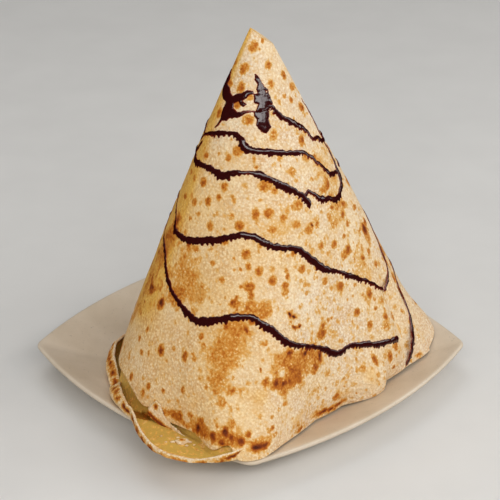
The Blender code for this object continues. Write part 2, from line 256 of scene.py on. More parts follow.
def fall_at(azimuth, height):
    """How far down the cone a height lies."""
    azimuth = np.asarray(azimuth, float)
    top, foot = tip_point(azimuth)[..., 2], foot_point(azimuth)[..., 2]
    return (top - height) / (top - foot)


def edge_fall(azimuth):
    """How far down the cone the outer layer's bottom edge lies."""
    return fall_at(azimuth, foot_point(azimuth)[..., 2] + around(EDGE_RISE, azimuth))


def degree_length(azimuth, fall):
    """Length of one degree round the cone."""
    return np.linalg.norm(skin(azimuth + 0.5, fall, 0) - skin(azimuth - 0.5, fall, 0), axis=1)


def turn_from(azimuth, start):
    """Degrees from one azimuth to another, the short way round."""
    return (azimuth - start + 180) % 360 - 180


def fade(fall):
    """Share of its relief that the sheet keeps: little at the tip, where it is rolled tightest."""
    return np.clip(fall * 12, 0.2, 1)


def ripple(points, size, seed=0, depth=3):
    """Soft random bumps of about a size, from -1 to 1, at a list of points in mm."""
    shift = Vector((seed * 17.3, seed * 5.1, seed * 11.7))
    return np.array([noise.fractal(Vector(p) / size + shift, 1.0, 2.0, depth) for p in points])


# ---- Making pieces ----

def new_grid(name, across, along):
    """A flat sheet of faces one unit square, laid in place afterwards."""
    bpy.ops.object.select_all(action="DESELECT")
    bpy.ops.mesh.primitive_grid_add(x_subdivisions=across, y_subdivisions=along, size=1, calc_uvs=False)
    piece = bpy.context.object
    piece.name = piece.data.name = name
    return piece


def spots_of(piece):
    """Every vertex of a piece, in the units that it is being made in."""
    spots = np.empty(len(piece.data.vertices) * 3)
    piece.data.vertices.foreach_get("co", spots)
    return spots.reshape(-1, 3)


def lay(piece, points):
    """Move every vertex to its place, given in mm."""
    piece.data.vertices.foreach_set("co", (np.asarray(points, float) * MM).ravel())
    piece.data.update()


def centres(piece, part):
    """Middle of every face or edge of a piece."""
    spots = spots_of(piece)
    return np.array([spots[list(item.vertices)].mean(axis=0) for item in getattr(piece.data, part)])


def edit(piece, part, chosen):
    """Go into edit mode with only the chosen vertices, edges or faces selected."""
    bpy.ops.object.select_all(action="DESELECT")
    piece.select_set(True)
    bpy.context.view_layer.objects.active = piece
    bpy.ops.object.mode_set(mode="EDIT")
    bpy.ops.mesh.select_mode(type={"vertices": "VERT", "edges": "EDGE", "polygons": "FACE"}[part])
    bpy.ops.mesh.select_all(action="DESELECT")
    bpy.ops.object.mode_set(mode="OBJECT")
    getattr(piece.data, part).foreach_set("select", np.asarray(chosen, bool))
    bpy.ops.object.mode_set(mode="EDIT")


def done_editing():
    """Select nothing and leave edit mode."""
    bpy.ops.mesh.select_all(action="DESELECT")
    bpy.ops.object.mode_set(mode="OBJECT")


def close_up(piece, gap=0.00001):
    """Join what meets, and turn every face outwards."""
    edit(piece, "vertices", np.ones(len(piece.data.vertices)))
    bpy.ops.mesh.remove_doubles(threshold=gap)
    bpy.ops.mesh.normals_make_consistent(inside=False)
    done_editing()


def join_sides(sheet, axis):
    """Join two opposite sides of a flat sheet into a tube, and close the tube's ends."""
    edit(sheet, "edges", np.abs(centres(sheet, "edges")[:, axis]) > 0.49999)
    bpy.ops.mesh.bridge_edge_loops()
    done_editing()
    for end in (-0.5, 0.5):
        edit(sheet, "edges", np.abs(centres(sheet, "edges")[:, 1 - axis] - end) < 0.00001)
        bpy.ops.mesh.edge_face_add()
        done_editing()


def smooth(piece, angle=None):
    """Shade a piece smooth, all over or only where faces meet within an angle."""
    bpy.ops.object.select_all(action="DESELECT")
    piece.select_set(True)
    bpy.context.view_layer.objects.active = piece
    if angle is None:
        bpy.ops.object.shade_smooth()
    else:
        bpy.ops.object.shade_smooth_by_angle(angle=math.radians(angle))


def paint(piece, name, values):
    """Write one number a vertex for the piece's material to read."""
    layer = piece.data.attributes.new(name, "FLOAT", "POINT")
    layer.data.foreach_set("value", np.asarray(values, float))


def finish_piece(piece, material, node=None):
    """Give a piece its material and slot, the node whose place it takes, and its body."""
    piece.data.materials.clear()
    piece.data.materials.append(material)
    if node:
        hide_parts(node)
    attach(piece, "root")


def apart_from(outline, x, y):
    """Distance from each (x, y) to a closed outline, positive inside it."""
    nearest = np.full(len(x), 1e9)
    inside = np.zeros(len(x), bool)
    for (x0, y0), (x1, y1) in zip(outline, np.roll(outline, -1, axis=0)):
        run, climb = x1 - x0, y1 - y0
        share = np.clip(((x - x0) * run + (y - y0) * climb) / (run * run + climb * climb), 0, 1)
        nearest = np.minimum(nearest, np.hypot(x - x0 - run * share, y - y0 - climb * share))
        crosses = (y0 > y) != (y1 > y)
        inside ^= crosses & (x < x0 + run * (y - y0) / (climb if climb else 1))
    return np.where(inside, nearest, -nearest)


def cut_on_skin(name, outline, openings, cell, ragged):
    """A fine grid over an outline on the skin, with each spot's azimuth, height and depth inside it."""
    middle = np.mean([stop[0] for stop in outline])

    def degree_at(height):
        return degree_length(middle, fall_at(np.full(len(height), middle), height))

    def flatten(stops):
        stops = np.array(stops, float)
        return np.column_stack(((stops[:, 0] - middle) * degree_at(stops[:, 1]), stops[:, 1] * SLANT))

    pool = flatten(outline)
    low, high = pool.min(axis=0) - 1.5, pool.max(axis=0) + 1.5
    columns, rows = (int(count) for count in np.ceil((high - low) / cell))
    piece = new_grid(name, columns, rows)
    x, y = (low + (spots_of(piece)[:, :2] + 0.5) * (high - low)).T
    depth = apart_from(pool, x, y)
    for opening in openings:
        depth = np.minimum(depth, -apart_from(flatten(opening), x, y))
    depth = depth + ragged * ripple(np.column_stack((x, y, x * 0)), 1.5, 8, 2)
    height = y / SLANT
    return piece, middle + x / degree_at(height), height, depth


def trim_and_thicken(piece, outside, wall):
    """Cut away the faces outside the outline and give the rest a thickness inwards."""
    corners = np.array([list(face.vertices) for face in piece.data.polygons])
    edit(piece, "polygons", outside[corners].all(axis=1))
    bpy.ops.mesh.delete(type="FACE")
    done_editing()
    leaf = piece.modifiers.new("leaf", "SOLIDIFY")
    leaf.thickness = wall * MM
    leaf.offset = -1
    bpy.ops.object.modifier_apply(modifier=leaf.name)
    smooth(piece)


# ---- Materials ----

def srgb(red, green, blue):
    """A finish's colour, from 0-255 as a paint chart gives it."""
    shares = [channel / 255 for channel in (red, green, blue)]
    return (*[share / 12.92 if share < 0.0404 else ((share + 0.055) / 1.055) ** 2.4 for share in shares], 1)


class Recipe:
    """One material's nodes, added and joined one at a time."""

    def __init__(self, name):
        self.material = bpy.data.materials.new(name)
        self.material.use_nodes = True
        self.tree = self.material.node_tree
        self.tree.nodes.clear()
        self.output = self.tree.nodes.new("ShaderNodeOutputMaterial")

    def add(self, kind, **settings):
        """A node with its settings, and its sockets filled by name with values or other sockets."""
        node = self.tree.nodes.new("ShaderNode" + kind)
        sockets = settings.pop("sockets", {})
        for key, value in settings.items():
            setattr(node, key, value)
        for key, value in sockets.items():
            socket = node.inputs[key]
            if isinstance(value, bpy.types.NodeSocket):
                self.tree.links.new(value, socket)
            else:
                socket.default_value = value
        return node

    def attribute(self, name):
        return self.add("Attribute", attribute_name=name).outputs["Fac"]

    def place(self):
        return self.add("TexCoord").outputs["Object"]

    def noise(self, size, detail=3.0, rough=0.55):
        """Cloudy noise of a size in mm."""
        return self.add("TexNoise", sockets={"Vector": self.place(), "Scale": 1 / (size * MM),
                                             "Detail": detail, "Roughness": rough}).outputs["Fac"]

    def cells(self, size):
        """Distance to the middle of the nearest of many small round cells of a size in mm."""
        return self.add("TexVoronoi", feature="SMOOTH_F1",
                        sockets={"Vector": self.place(), "Scale": 1 / (size * MM)}).outputs["Distance"]

    def math(self, operation, first, second=0.0, third=0.0, clamp=False):
        return self.add("Math", operation=operation, use_clamp=clamp,
                        sockets={0: first, 1: second, 2: third}).outputs[0]

    def ramp(self, value, stops):
        """Colours along a value, as (place, colour)."""
        node = self.add("ValToRGB", sockets={"Fac": value})
        band = node.color_ramp
        while len(band.elements) < len(stops):
            band.elements.new(0.5)
        for element, (at, colour) in zip(band.elements, stops):
            element.position = at
            element.color = colour
        return node.outputs["Color"]

    def grade(self, value, low, high, start=0.0, end=1.0):
        """A value rescaled from low-high to start-end, and held there."""
        return self.add("MapRange", sockets={"Value": value, "From Min": low, "From Max": high,
                                             "To Min": start, "To Max": end}).outputs["Result"]

    def mix(self, amount, first, second, blend="MIX"):
        node = self.add("Mix", data_type="RGBA", blend_type=blend)
        for socket, value in ((node.inputs[0], amount), (node.inputs[6], first), (node.inputs[7], second)):
            if isinstance(value, bpy.types.NodeSocket):
                self.tree.links.new(value, socket)
            else:
                socket.default_value = value
        return node.outputs[2]

    def bump(self, height, distance, strength=1.0):
        sockets = {"Height": height, "Distance": distance * MM, "Strength": strength}
        return self.add("Bump", sockets=sockets).outputs["Normal"]

    def finish(self, **sockets):
        shader = self.add("BsdfPrincipled", sockets=sockets)
        self.tree.links.new(shader.outputs[0], self.output.inputs["Surface"])
        return self.material


# Colours of the bread from plain to darkest, as (toast, colour)
TOASTING = (
    (0, (242, 214, 168)), (0.16, (228, 180, 108)), (0.34, (212, 144, 58)), (0.54, (188, 106, 26)),
    (0.76, (140, 62, 16)), (1, (80, 32, 14)),
)


def crisp_bread():
    """Griddled flatbread: cream with a fine blistered grain, browned in spots, gold where it is oily."""
    r = Recipe("crisp_bread")
    toast = r.attribute("toast")
    gold = r.attribute("gold")
    grain = r.noise(1.4, 3.0, 0.65)
    bubble = r.grade(r.cells(1.7), 0.05, 0.6)
    grit = r.math("MULTIPLY_ADD", bubble, 0.55, r.grade(grain, 0.36, 0.64, 0, 0.45))

    # Browning breaks up into the grain, most where it is of middling depth
    spread = r.math("MULTIPLY", r.grade(toast, 0.02, 0.28, 0.12, 1), r.grade(toast, 0.36, 0.7, 1, 0.35))
    speckle = r.math("MULTIPLY", r.math("SUBTRACT", grit, 0.55), spread)
    browned = r.math("MULTIPLY_ADD", speckle, 0.54, toast)
    browned = r.math("ADD", browned, r.grade(r.noise(11, 4.0), 0.45, 0.75, 0, 0.12), clamp=True)

    plain = r.mix(r.grade(r.noise(38, 2.0), 0.35, 0.65), srgb(254, 232, 192), srgb(251, 235, 208))
    rough_here = r.grade(r.noise(26, 2.0), 0.38, 0.62, 0.62, 1.1)
    specks = r.math("MULTIPLY", r.grade(grit, 0.24, 0.94, 0, 0.8), rough_here)
    plain = r.mix(specks, plain, srgb(204, 146, 74))
    toasted = r.ramp(browned, [(at, srgb(*shade)) for at, shade in TOASTING])
    colour = r.mix(r.grade(browned, 0.0, 0.18), plain, toasted)

    # A little oil warms the colour, and much of it covers the bread with its own
    amber = r.math("MULTIPLY", r.grade(gold, 0, 0.6), r.grade(browned, 0.12, 0.4, 1, 0.5))
    colour = r.mix(amber, colour, r.mix(1.0, colour, (0.97, 0.72, 0.24, 1), "MULTIPLY"))
    oil = r.grade(gold, 0.55, 0.95)
    oily = r.mix(r.grade(browned, 0.15, 0.5), srgb(202, 163, 76), srgb(132, 82, 20))
    colour = r.mix(oil, colour, oily)

    height = r.math("MULTIPLY_ADD", bubble, -0.6, grain)
    relief = r.bump(r.math("MULTIPLY", height, r.grade(oil, 0, 1, 1, 0.25)), 0.9)
    return r.finish(**{"Base Color": colour, "Roughness": r.grade(oil, 0, 1, 0.62, 0.3), "Normal": relief,
                       "Specular IOR Level": 0.16})


def cream_stoneware():
    """Matte cream glaze with fine grey specks."""
    r = Recipe("cream_stoneware")
    cloud = r.noise(30, 3.0)
    speck = r.noise(1.6, 2.0)
    colour = r.mix(r.grade(cloud, 0.35, 0.65), srgb(219, 203, 181), srgb(208, 191, 167))
    colour = r.mix(r.grade(speck, 0.66, 0.74, 0, 0.5), colour, srgb(150, 138, 122))
    relief = r.bump(r.noise(2.5, 3.0), 0.06, 0.5)
    return r.finish(**{"Base Color": colour, "Roughness": 0.42, "Normal": relief, "Specular IOR Level": 0.5})


def chocolate_sauce():
    """Glossy dark chocolate, reddish where it thins to its edge."""
    r = Recipe("chocolate_sauce")
    thick = r.attribute("thick")
    colour = r.mix(r.grade(thick, 0.05, 0.6), srgb(132, 42, 18), srgb(50, 11, 11))
    relief = r.bump(r.noise(4, 2.0), 0.1, 0.3)
    return r.finish(**{"Base Color": colour, "Roughness": 0.13, "Normal": relief, "Specular IOR Level": 0.46})


def pale_floor():
    """Plain pale paper."""
    r = Recipe("pale_floor")
    colour = r.mix(r.grade(r.noise(60, 2.0), 0.3, 0.7), srgb(226, 224, 220), srgb(222, 220, 216))
    return r.finish(**{"Base Color": colour, "Roughness": 0.9})


# ---- Plate ----

def make_plate():
    """A disc spread to the plate's outline, then drawn in and down ring by ring."""
    outline = plate_outline()
    bpy.ops.object.select_all(action="DESELECT")
    bpy.ops.mesh.primitive_circle_add(vertices=len(outline), radius=1, fill_type="NOTHING")
    plate = bpy.context.object
    plate.name = plate.data.name = "stoneware_plate"
    share, height = UNDERSIDE[0]
    lay(plate, np.column_stack((outline * share, np.full(len(outline), height))))
    draw_rings(plate, len(outline), UNDERSIDE[0], UNDERSIDE[1:])
    bpy.ops.mesh.edge_face_add()
    done_editing()
    draw_rings(plate, len(outline), UNDERSIDE[0], DISH[:0:-1])
    sag = (DISH[0][1] - DISH[1][1]) * MM
    bpy.ops.mesh.extrude_region_move(TRANSFORM_OT_translate={"value": (0, 0, sag)})
    bpy.ops.mesh.merge(type="CENTER")
    done_editing()
    close_up(plate)
    edges = plate.modifiers.new("round", "SUBSURF")
    edges.levels = edges.render_levels = 2
    bpy.ops.object.modifier_apply(modifier=edges.name)
    smooth(plate)
    finish_piece(plate, cream_stoneware(), "plate")


def draw_rings(plate, count, start, stops):
    """Extrude the first ring of vertices again and again to each (share, height)."""
    edit(plate, "vertices", np.arange(len(plate.data.vertices)) < count)
    share, height = start
    for next_share, next_height in stops:
        climb = (next_height - height) * MM
        bpy.ops.mesh.extrude_region_move(TRANSFORM_OT_translate={"value": (0, 0, climb)})
        scale = next_share / share
        bpy.ops.transform.resize(value=(scale, scale, 1), center_override=(0, 0, 0))
        share, height = next_share, next_height


# ---- Cone of bread ----

COLUMNS = 60
OUTER_ROWS = 80                 # rows of the flat sheet for the outer face, then 1 for the edge
ALL_ROWS = 89                   # and the rest for the lining
FINER_FROM = (32, 48, 64)       # rows from which the outer face is split once more
BACK_SHARE, BACK_END = 0.34, 187    # the columns' share round the back, and the azimuth where it ends
EDGE_ROUND, EDGE_DROP = 0.9, 0.6    # how the bottom edge is rounded, inwards and downwards
LINING_UP = 0.93                # how far up the inside the lining goes
LINING_TOAST, LINING_GOLD = 0.1, 0.3
ROW_FALL = ((0, 0), (32, 0.125), (48, 0.25), (64, 0.5), (80, 1))
# Griddle marks: (azimuth, height, half width, half height, depth of browning)
MARKS = (
    # round the tip
    (243, 259, 3.2, 3.8, 0.55), (272, 262, 1.5, 2.1, 0.5), (263, 257, 1, 1, 0.4),
    (233, 246, 3, 4.2, 0.65), (287, 247, 2.3, 2.8, 0.7), (296, 247, 1.2, 1.2, 0.3),
    (334, 238, 2.4, 3, 0.8), (290, 236, 2.1, 3.1, 0.55), (315, 227, 1.7, 1.6, 0.55),
    (330, 223, 1.9, 2.2, 0.6), (349, 229, 2.7, 3.2, 0.45), (351, 215, 3, 3.3, 0.75),
    (237, 235, 2.7, 4, 0.6), (254, 230, 2.3, 2.3, 0.5), (239, 225, 2.5, 2.6, 0.6),
    (256, 217, 4, 3.3, 0.5), (286, 207, 2.9, 3.6, 0.45), (324, 198, 3.3, 3.6, 0.8),
    (213, 217, 2.5, 3.3, 0.6), (210, 235, 3, 2.8, 0.55), (194, 247, 2.5, 4, 0.4),
    # upper left
    (216, 191, 2.4, 2.5, 0.8), (250, 199, 3.6, 3.9, 0.5), (242, 194, 1.8, 2.4, 0.6),
    (231, 195, 1, 1.6, 0.4), (266, 195, 1.3, 1.5, 0.5), (268, 190, 1.5, 1.5, 0.5),
    (284, 190, 1.7, 1.8, 0.25), (223, 176, 2.8, 3.6, 0.85), (210, 175, 2.4, 2, 0.4),
    (198, 175, 3, 1.8, 0.5), (244, 177, 2.5, 2.9, 0.55), (260, 179, 2.1, 2.1, 0.25),
    (276, 179, 4.6, 4.3, 0.55), (283, 175, 2.6, 2.3, 0.45), (233, 166, 2.5, 3.5, 0.7),
    (220, 162, 2.4, 3, 0.7), (205, 161, 2.8, 2, 0.6), (241, 170, 1.8, 2.4, 0.6),
    (252, 172, 1.2, 1.6, 0.55), (227, 157, 1.9, 1.6, 0.35), (221, 152, 1.5, 1.7, 0.5),
    (242, 161, 1.2, 1.6, 0.35), (253, 161, 2, 2.6, 0.35), (239, 152, 2.7, 2.7, 0.55),
    (259, 156, 2.9, 3.3, 0.6), (269, 163, 2.8, 3.3, 0.7), (278, 163, 3.4, 3.6, 0.7),
    (288, 158, 2.3, 2.8, 0.5), (280, 153, 2.9, 2.1, 0.4), (250, 146, 3.8, 2.6, 0.6),
    (236, 143, 1.3, 1.6, 0.5), (226, 137, 1.7, 2, 0.7), (233, 137, 2, 2.4, 0.4),
    # upper right
    (301, 183, 3, 3.4, 0.4), (322, 174, 2.3, 1.6, 0.35), (341, 166, 3, 3.5, 0.8),
    (335, 164, 5, 2.6, 0.45), (301, 163, 4.2, 3.9, 0.5), (337, 151, 1.8, 1.7, 0.7),
    (353, 147, 2.7, 2.8, 0.75), (347, 142, 2.5, 2.7, 0.7), (4, 139, 3.4, 2, 0.65),
    (298, 152, 3.4, 3.1, 0.35), (308, 146, 3.9, 3.4, 0.45), (316, 146, 2.4, 2.2, 0.35),
    (349, 135, 2.4, 2.4, 0.4), (4, 122, 3.2, 4, 0.85), (9, 125, 4, 3, 0.6), (341, 130, 2.2, 1.7, 0.5),
    (324, 188, 4.4, 3.3, 0.4),
    # across the middle
    (264, 140, 2.8, 3.3, 0.8), (266, 133, 2, 2.3, 0.7), (262, 131, 1.3, 1.5, 0.5),
    (258, 137, 1.2, 1.5, 0.5), (246, 132, 1.9, 1.8, 0.55), (253, 124, 2.2, 2.1, 0.5),
    (263, 121, 1.3, 1.5, 0.6), (267, 121, 3.6, 3, 0.65), (268, 116, 2, 3.4, 0.6),
    (272, 130, 2.6, 3.3, 0.6), (279, 123, 3.3, 3.3, 0.8), (288, 123, 1.9, 2.1, 0.55),
    (286, 118, 2.9, 2.4, 0.6), (286, 114, 3.3, 2.4, 0.4), (298, 124, 3, 2.9, 0.6),
    (315, 110, 2.9, 3, 0.55), (327, 101, 4, 3.7, 0.8), (329, 129, 3.2, 3, 0.7), (316, 133, 2.6, 2.5, 0.5),
    (342, 120, 3.5, 3.8, 0.9), (337, 119, 5, 3.5, 0.45), (297, 117, 2, 1.9, 0.3),
    (300, 108, 1.8, 1.6, 0.35), (309, 77, 4.9, 3.1, 0.35), (279, 130, 2.5, 2.1, 0.25),
    (324, 87, 1.9, 1.4, 0.3), (269, 101, 2.1, 2.3, 0.65), (294, 136, 2.8, 2.6, 0.55),
    (287, 127, 1.6, 1.8, 0.35),
    # right flank
    (359, 109, 2.5, 2.5, 0.55), (352, 109, 2.3, 2.4, 0.6), (1, 98, 2.3, 2.6, 0.6),
    (349, 85, 3.2, 3.6, 0.8), (340, 96, 2.1, 1.8, 0.45), (350, 73, 2, 1.8, 0.65),
    (354, 64, 2.7, 3.2, 0.8), (337, 78, 3.2, 3.2, 0.6), (344, 65, 3.2, 3, 0.6), (1, 58, 2.1, 4, 0.5),
    (353, 58, 4.8, 5, 0.35), (351, 79, 1.5, 1.8, 0.45), (344, 87, 1.7, 1.8, 0.45), (6, 57, 1.4, 1.8, 0.5),
    (351, 36, 2.8, 5, 0.9), (341, 41, 2.5, 4.6, 0.8), (355, 40, 3.3, 3.6, 0.6), (5, 22, 2.8, 1.6, 0.45),
    (359, 71, 2.3, 1.9, 0.4), (355, 75, 3.6, 3.8, 0.3),
    # along the sheet's free edge
    (19, 106, 1.2, 5, 0.5), (17, 97, 1.2, 5, 0.6), (15, 86, 1.2, 6, 0.6), (14, 76, 1.5, 5, 0.75),
    (13, 67, 1.5, 4, 0.7),
    # left flank
    (218, 95, 3.8, 4.3, 1), (227, 70, 3.4, 4.5, 1), (241, 74, 2.3, 3.5, 0.75), (247, 89, 1.9, 2.6, 0.65),
    (249, 84, 1.9, 2.2, 0.38), (234, 75, 1.7, 1.9, 0.45), (214, 76, 1.6, 2.9, 0.7),
    (210, 67, 2, 2.7, 0.6), (215, 61, 2.6, 2, 0.6), (220, 64, 1.3, 2, 0.45), (205, 99, 2.2, 1.8, 0.7),
    (202, 87, 2, 1.2, 0.6), (202, 79, 2, 1.2, 0.6), (243, 54, 2.3, 3, 0.5), (225, 45, 1.8, 3, 0.75),
    (223, 39, 1.6, 3.4, 0.6), (213, 43, 2.2, 3, 0.65), (194, 48, 2, 2, 0.4), (206, 51, 2, 2, 0.45),
    (233, 47, 1.6, 2, 0.6),
    # near the foot
    (263, 62, 1.3, 1.5, 0.55), (260, 57, 1.1, 1.3, 0.4), (268, 66, 1, 1.5, 0.35),
    (265, 53, 1.3, 1.3, 0.3), (277, 45, 1.7, 1.3, 0.55), (280, 46, 1.7, 1, 0.45),
    (277, 39, 2.6, 1.6, 0.65), (278, 34, 3.2, 1.6, 0.4), (291, 21, 4.5, 2.1, 0.7),
    (264, 45, 1.8, 2.3, 0.6), (264, 39, 1.8, 2, 0.6), (262, 41, 2, 3.3, 0.8), (252, 35, 2.4, 4, 0.95),
    (267, 37, 2.8, 2.8, 0.9), (269, 40, 2.1, 2, 0.8), (272, 32, 5.6, 2.6, 1), (275, 32, 3.8, 2.1, 0.75),
    (259, 43, 1.2, 1.8, 0.45), (258, 37, 3, 3.4, 0.7), (261, 35, 2.2, 2.1, 0.85),
    (275, 65, 2.6, 3.3, 0.65), (279, 63, 2.6, 3.6, 0.75), (283, 60, 2.6, 2.1, 0.8), (275, 88, 2, 2, 0.4),
    (306, 62, 2, 6.6, 0.6), (302, 56, 4.6, 4, 0.6), (317, 27, 3.8, 2.7, 0.6), (333, 40, 3.2, 2.7, 0.35),
    (283, 47, 2.7, 1.6, 0.5), (309, 21, 4.2, 2.3, 0.75), (314, 19, 3, 1.6, 0.7), (320, 20, 5, 1.6, 0.55),
    (323, 32, 0.8, 0.8, 1), (329, 24, 0.8, 0.9, 0.7), (347, 22, 2.3, 1.9, 0.75),
    (346, 26, 2.4, 1.3, 0.55), (332, 56, 4, 2.4, 0.45), (353, 26, 1.8, 1.6, 0.7), (273, 73, 0.5, 1.5, 1),
)
# Broad browned patches with soft edges, given in the same way
PATCHES = (
    (259, 85, 16, 19, 0.28), (262, 99, 9, 6, 0.2), (292, 66, 17, 11, 0.32), (284, 57, 11, 5, 0.28),
    (303, 62, 7, 8, 0.28), (287, 64, 9, 9, 0.24), (283, 73, 10, 8, 0.3), (308, 77, 5, 5, 0.36),
    (279, 62, 8, 5, 0.3), (231, 117, 18, 17, 0.26), (228, 106, 9, 8, 0.16), (272, 105, 12, 8, 0.34),
    (254, 37, 11, 5, 0.5), (264, 37, 12, 6, 0.42), (257, 67, 9, 9, 0.26), (241, 35, 8, 4, 0.5),
    (246, 33, 6, 3, 0.4), (272, 34, 9, 4, 0.4), (300, 40, 9, 3, 0.15), (348, 104, 10, 18, 0.14),
    (340, 150, 12, 20, 0.13), (4, 120, 5, 12, 0.3), (312, 20, 12, 3, 0.4), (276, 152, 16, 12, 0.08),
    (203, 122, 12, 22, 0.34), (196, 98, 9, 22, 0.28), (189, 70, 7, 14, 0.22), (206, 140, 8, 10, 0.24),
    (347, 175, 8, 14, 0.12),
)
# Oily tints low on the front, given in the same way
OILY = (
    (336, 34, 9, 9, 0.3), (302, 22, 8, 4, 0.4), (322, 26, 12, 4, 0.26), (289, 31, 9, 4, 0.3),
    (273, 58, 9, 5, 0.2),
)


def make_cone():
    """The rolled sheet: a flat grid made finer towards its foot, then rolled up and closed."""
    cone = new_grid("prata_cone", COLUMNS, ALL_ROWS)
    for first_row in FINER_FROM:
        row = (centres(cone, "polygons")[:, 1] + 0.5) * ALL_ROWS
        edit(cone, "polygons", (row > first_row) & (row < OUTER_ROWS + 1))
        bpy.ops.mesh.subdivide(number_cuts=1)
        done_editing()
    join_sides(cone, 0)
    flat = spots_of(cone)
    across, row = flat[:, 0] + 0.5, (flat[:, 1] + 0.5) * ALL_ROWS
    turns = (SEAM_AZIMUTH - SEAM_TUCK, BACK_END, SEAM_AZIMUTH + 360)
    azimuth = np.interp(across, (0, BACK_SHARE, 1), turns)
    roll = np.clip((azimuth - SEAM_AZIMUTH) / 360, 0, 1)
    bottom = edge_fall(azimuth)
    fall = between(ROW_FALL, row) * bottom
    relief, toast, gold = bake_marks(azimuth, fall, skin(azimuth, fall, roll))
    normal = skin_normal(azimuth, fall)
    outer = skin(azimuth, fall, roll) + normal * relief[:, None]

    near_edge = np.clip(bottom, 0, STEADY_FALL)
    down = unit(skin(azimuth, near_edge + 0.01, 0) - skin(azimuth, near_edge, 0))
    turn = np.clip(row - OUTER_ROWS, 0, 1) * math.pi
    inwards = (1 - np.cos(turn)) * EDGE_ROUND
    drop = np.sin(turn) * EDGE_DROP
    edge = skin(azimuth, bottom, roll) + normal * relief[:, None]
    edge = edge - normal * inwards[:, None] + down * drop[:, None]

    up = np.clip((row - OUTER_ROWS - 1) / (ALL_ROWS - OUTER_ROWS - 1), 0, 1)
    inner = lining(azimuth, bottom * (1 - LINING_UP * up), np.full(len(up), float(SHEET)))
    is_edge = (row <= OUTER_ROWS + 1)[:, None]
    where = np.where((row <= OUTER_ROWS)[:, None], outer, np.where(is_edge, edge, inner))
    where[:, 2] = np.maximum(where[:, 2], plate_top(where) + CLEARANCE * 0.6)
    lay(cone, where)
    paint(cone, "toast", np.where(row <= OUTER_ROWS + 1, toast, LINING_TOAST))
    paint(cone, "gold", np.where(row <= OUTER_ROWS + 1, gold, LINING_GOLD))
    close_up(cone)
    smooth(cone, 60)
    return cone


def crumple(point):
    """Gentle unevenness of the sheet, in mm."""
    return 0.55 * ripple(point, 45, 1, 2) + 0.14 * ripple(point, 7, 2, 3)


def strew(chance, count, azimuths, top, span, sizes, longest, depths):
    """Marks at random places within a span below a top height, more of them low down."""
    marks = []
    for _ in range(count):
        size = chance.uniform(*sizes) if len(sizes) == 2 else chance.choice(sizes)
        marks.append((chance.uniform(*azimuths), top - span * math.sqrt(chance.random()), size,
                      size * chance.uniform(1, longest), chance.uniform(*depths)))
    return marks


def all_marks():
    """The marks above, faint freckles between them, and marks of the same kinds round the back."""
    chance = random.Random(11)
    marks = list(MARKS)
    marks += strew(chance, 1000, (180, 370), 262, 250, (0.6, 1.5), 1.7, (0.08, 0.34))
    marks += strew(chance, 350, (285, 370), 240, 225, (0.9, 2.2), 1.5, (0.1, 0.3))
    marks += strew(chance, 230, (14, 188), 262, 245, (1.2, 1.6, 2, 2.4, 3, 3.6), 1.5, (0.25, 0.95))
    patches = list(PATCHES)
    for _ in range(16):
        patches.append((chance.uniform(20, 180), 240 - 215 * math.sqrt(chance.random()),
                        chance.uniform(6, 13), chance.uniform(5, 14), chance.uniform(0.2, 0.45)))
    return marks, patches


def bake_marks(azimuth, fall, point):
    """Where the griddle browned and blistered the sheet: relief in mm, toast and gold."""
    height = point[:, 2]
    width = degree_length(azimuth, fall)
    toast = np.zeros(len(height))
    relief = crumple(point)
    wobble = ripple(point, 3.2, 5, 2)
    drift = ripple(point, 13, 7, 2)
    chance = random.Random(5)
    marks, patches = all_marks()
    for at, high, wide, tall, depth in marks:
        near = np.nonzero(np.abs(height - high) < tall * 2.4 + 1)[0]
        aside = turn_from(azimuth[near], at) * width[near] / wide
        close = np.abs(aside) < 2.6
        near, aside = near[close], aside[close]
        along = (height[near] - high) * SLANT / tall
        apart = np.hypot(aside, along) * (1 + 0.22 * wobble[near])
        lean, drop = chance.uniform(-0.35, 0.35), chance.uniform(-0.3, 0.3)
        core = (aside - lean) ** 2 + (along - drop) ** 2
        halo = 0.36 * min(1, depth * 1.7) * (1 - ease((apart - 0.65) / 0.6))
        toast[near] = np.maximum(toast[near], halo) + 0.42 * depth ** 1.5 * np.exp(-core * 3.2)
        relief[near] += 0.32 * min(depth, 0.7) * np.exp(-apart ** 2 * 1.2)
    for at, high, wide, tall, depth in patches:
        apart = np.hypot(turn_from(azimuth, at) * width / wide, (height - high) * SLANT / tall)
        apart = apart * (1 + 0.3 * wobble + 0.75 * drift)
        softly = (1 - ease((apart - 0.35) / 0.95)) * (1 - 0.5 * np.clip(toast, 0, 1))
        toast = np.maximum(toast, 0) + depth * softly
    aside = turn_from(azimuth % 360, CREASE_AZIMUTH) / CREASE_WIDTH
    crease = CREASE_DEPTH * np.exp(-aside ** 2) * ease((100 - height) / 30)
    relief = relief - crease * ease((height - 15) / 20)
    return relief * fade(fall), np.clip(toast, 0, 1.2), oiliness(azimuth, height, width, drift)


def oiliness(azimuth, height, width, drift):
    """How golden the oil makes the sheet: strongly on the left flank, faintly below and in front."""
    round_it = azimuth % 360
    flank = ease((228 - round_it) / 34) * ease((round_it - 150) / 40) * ease((height - 60) / 40)
    front = ease((305 - round_it) / 50) * ease((round_it - 100) / 80) * ease((235 - height) / 90)
    gold = 0.85 * flank + 0.24 * front
    for at, high, wide, tall, depth in OILY:
        apart = np.hypot(turn_from(azimuth, at) * width / wide, (height - high) * SLANT / tall)
        gold += depth * (1 - ease(apart * (1 + 0.4 * drift) - 0.2))
    return np.minimum(gold, 0.6)


cone = make_cone()
finish_piece(cone, crisp_bread(), "prata")


# ---- Lip: the inner layer that flares out below the raised edge ----

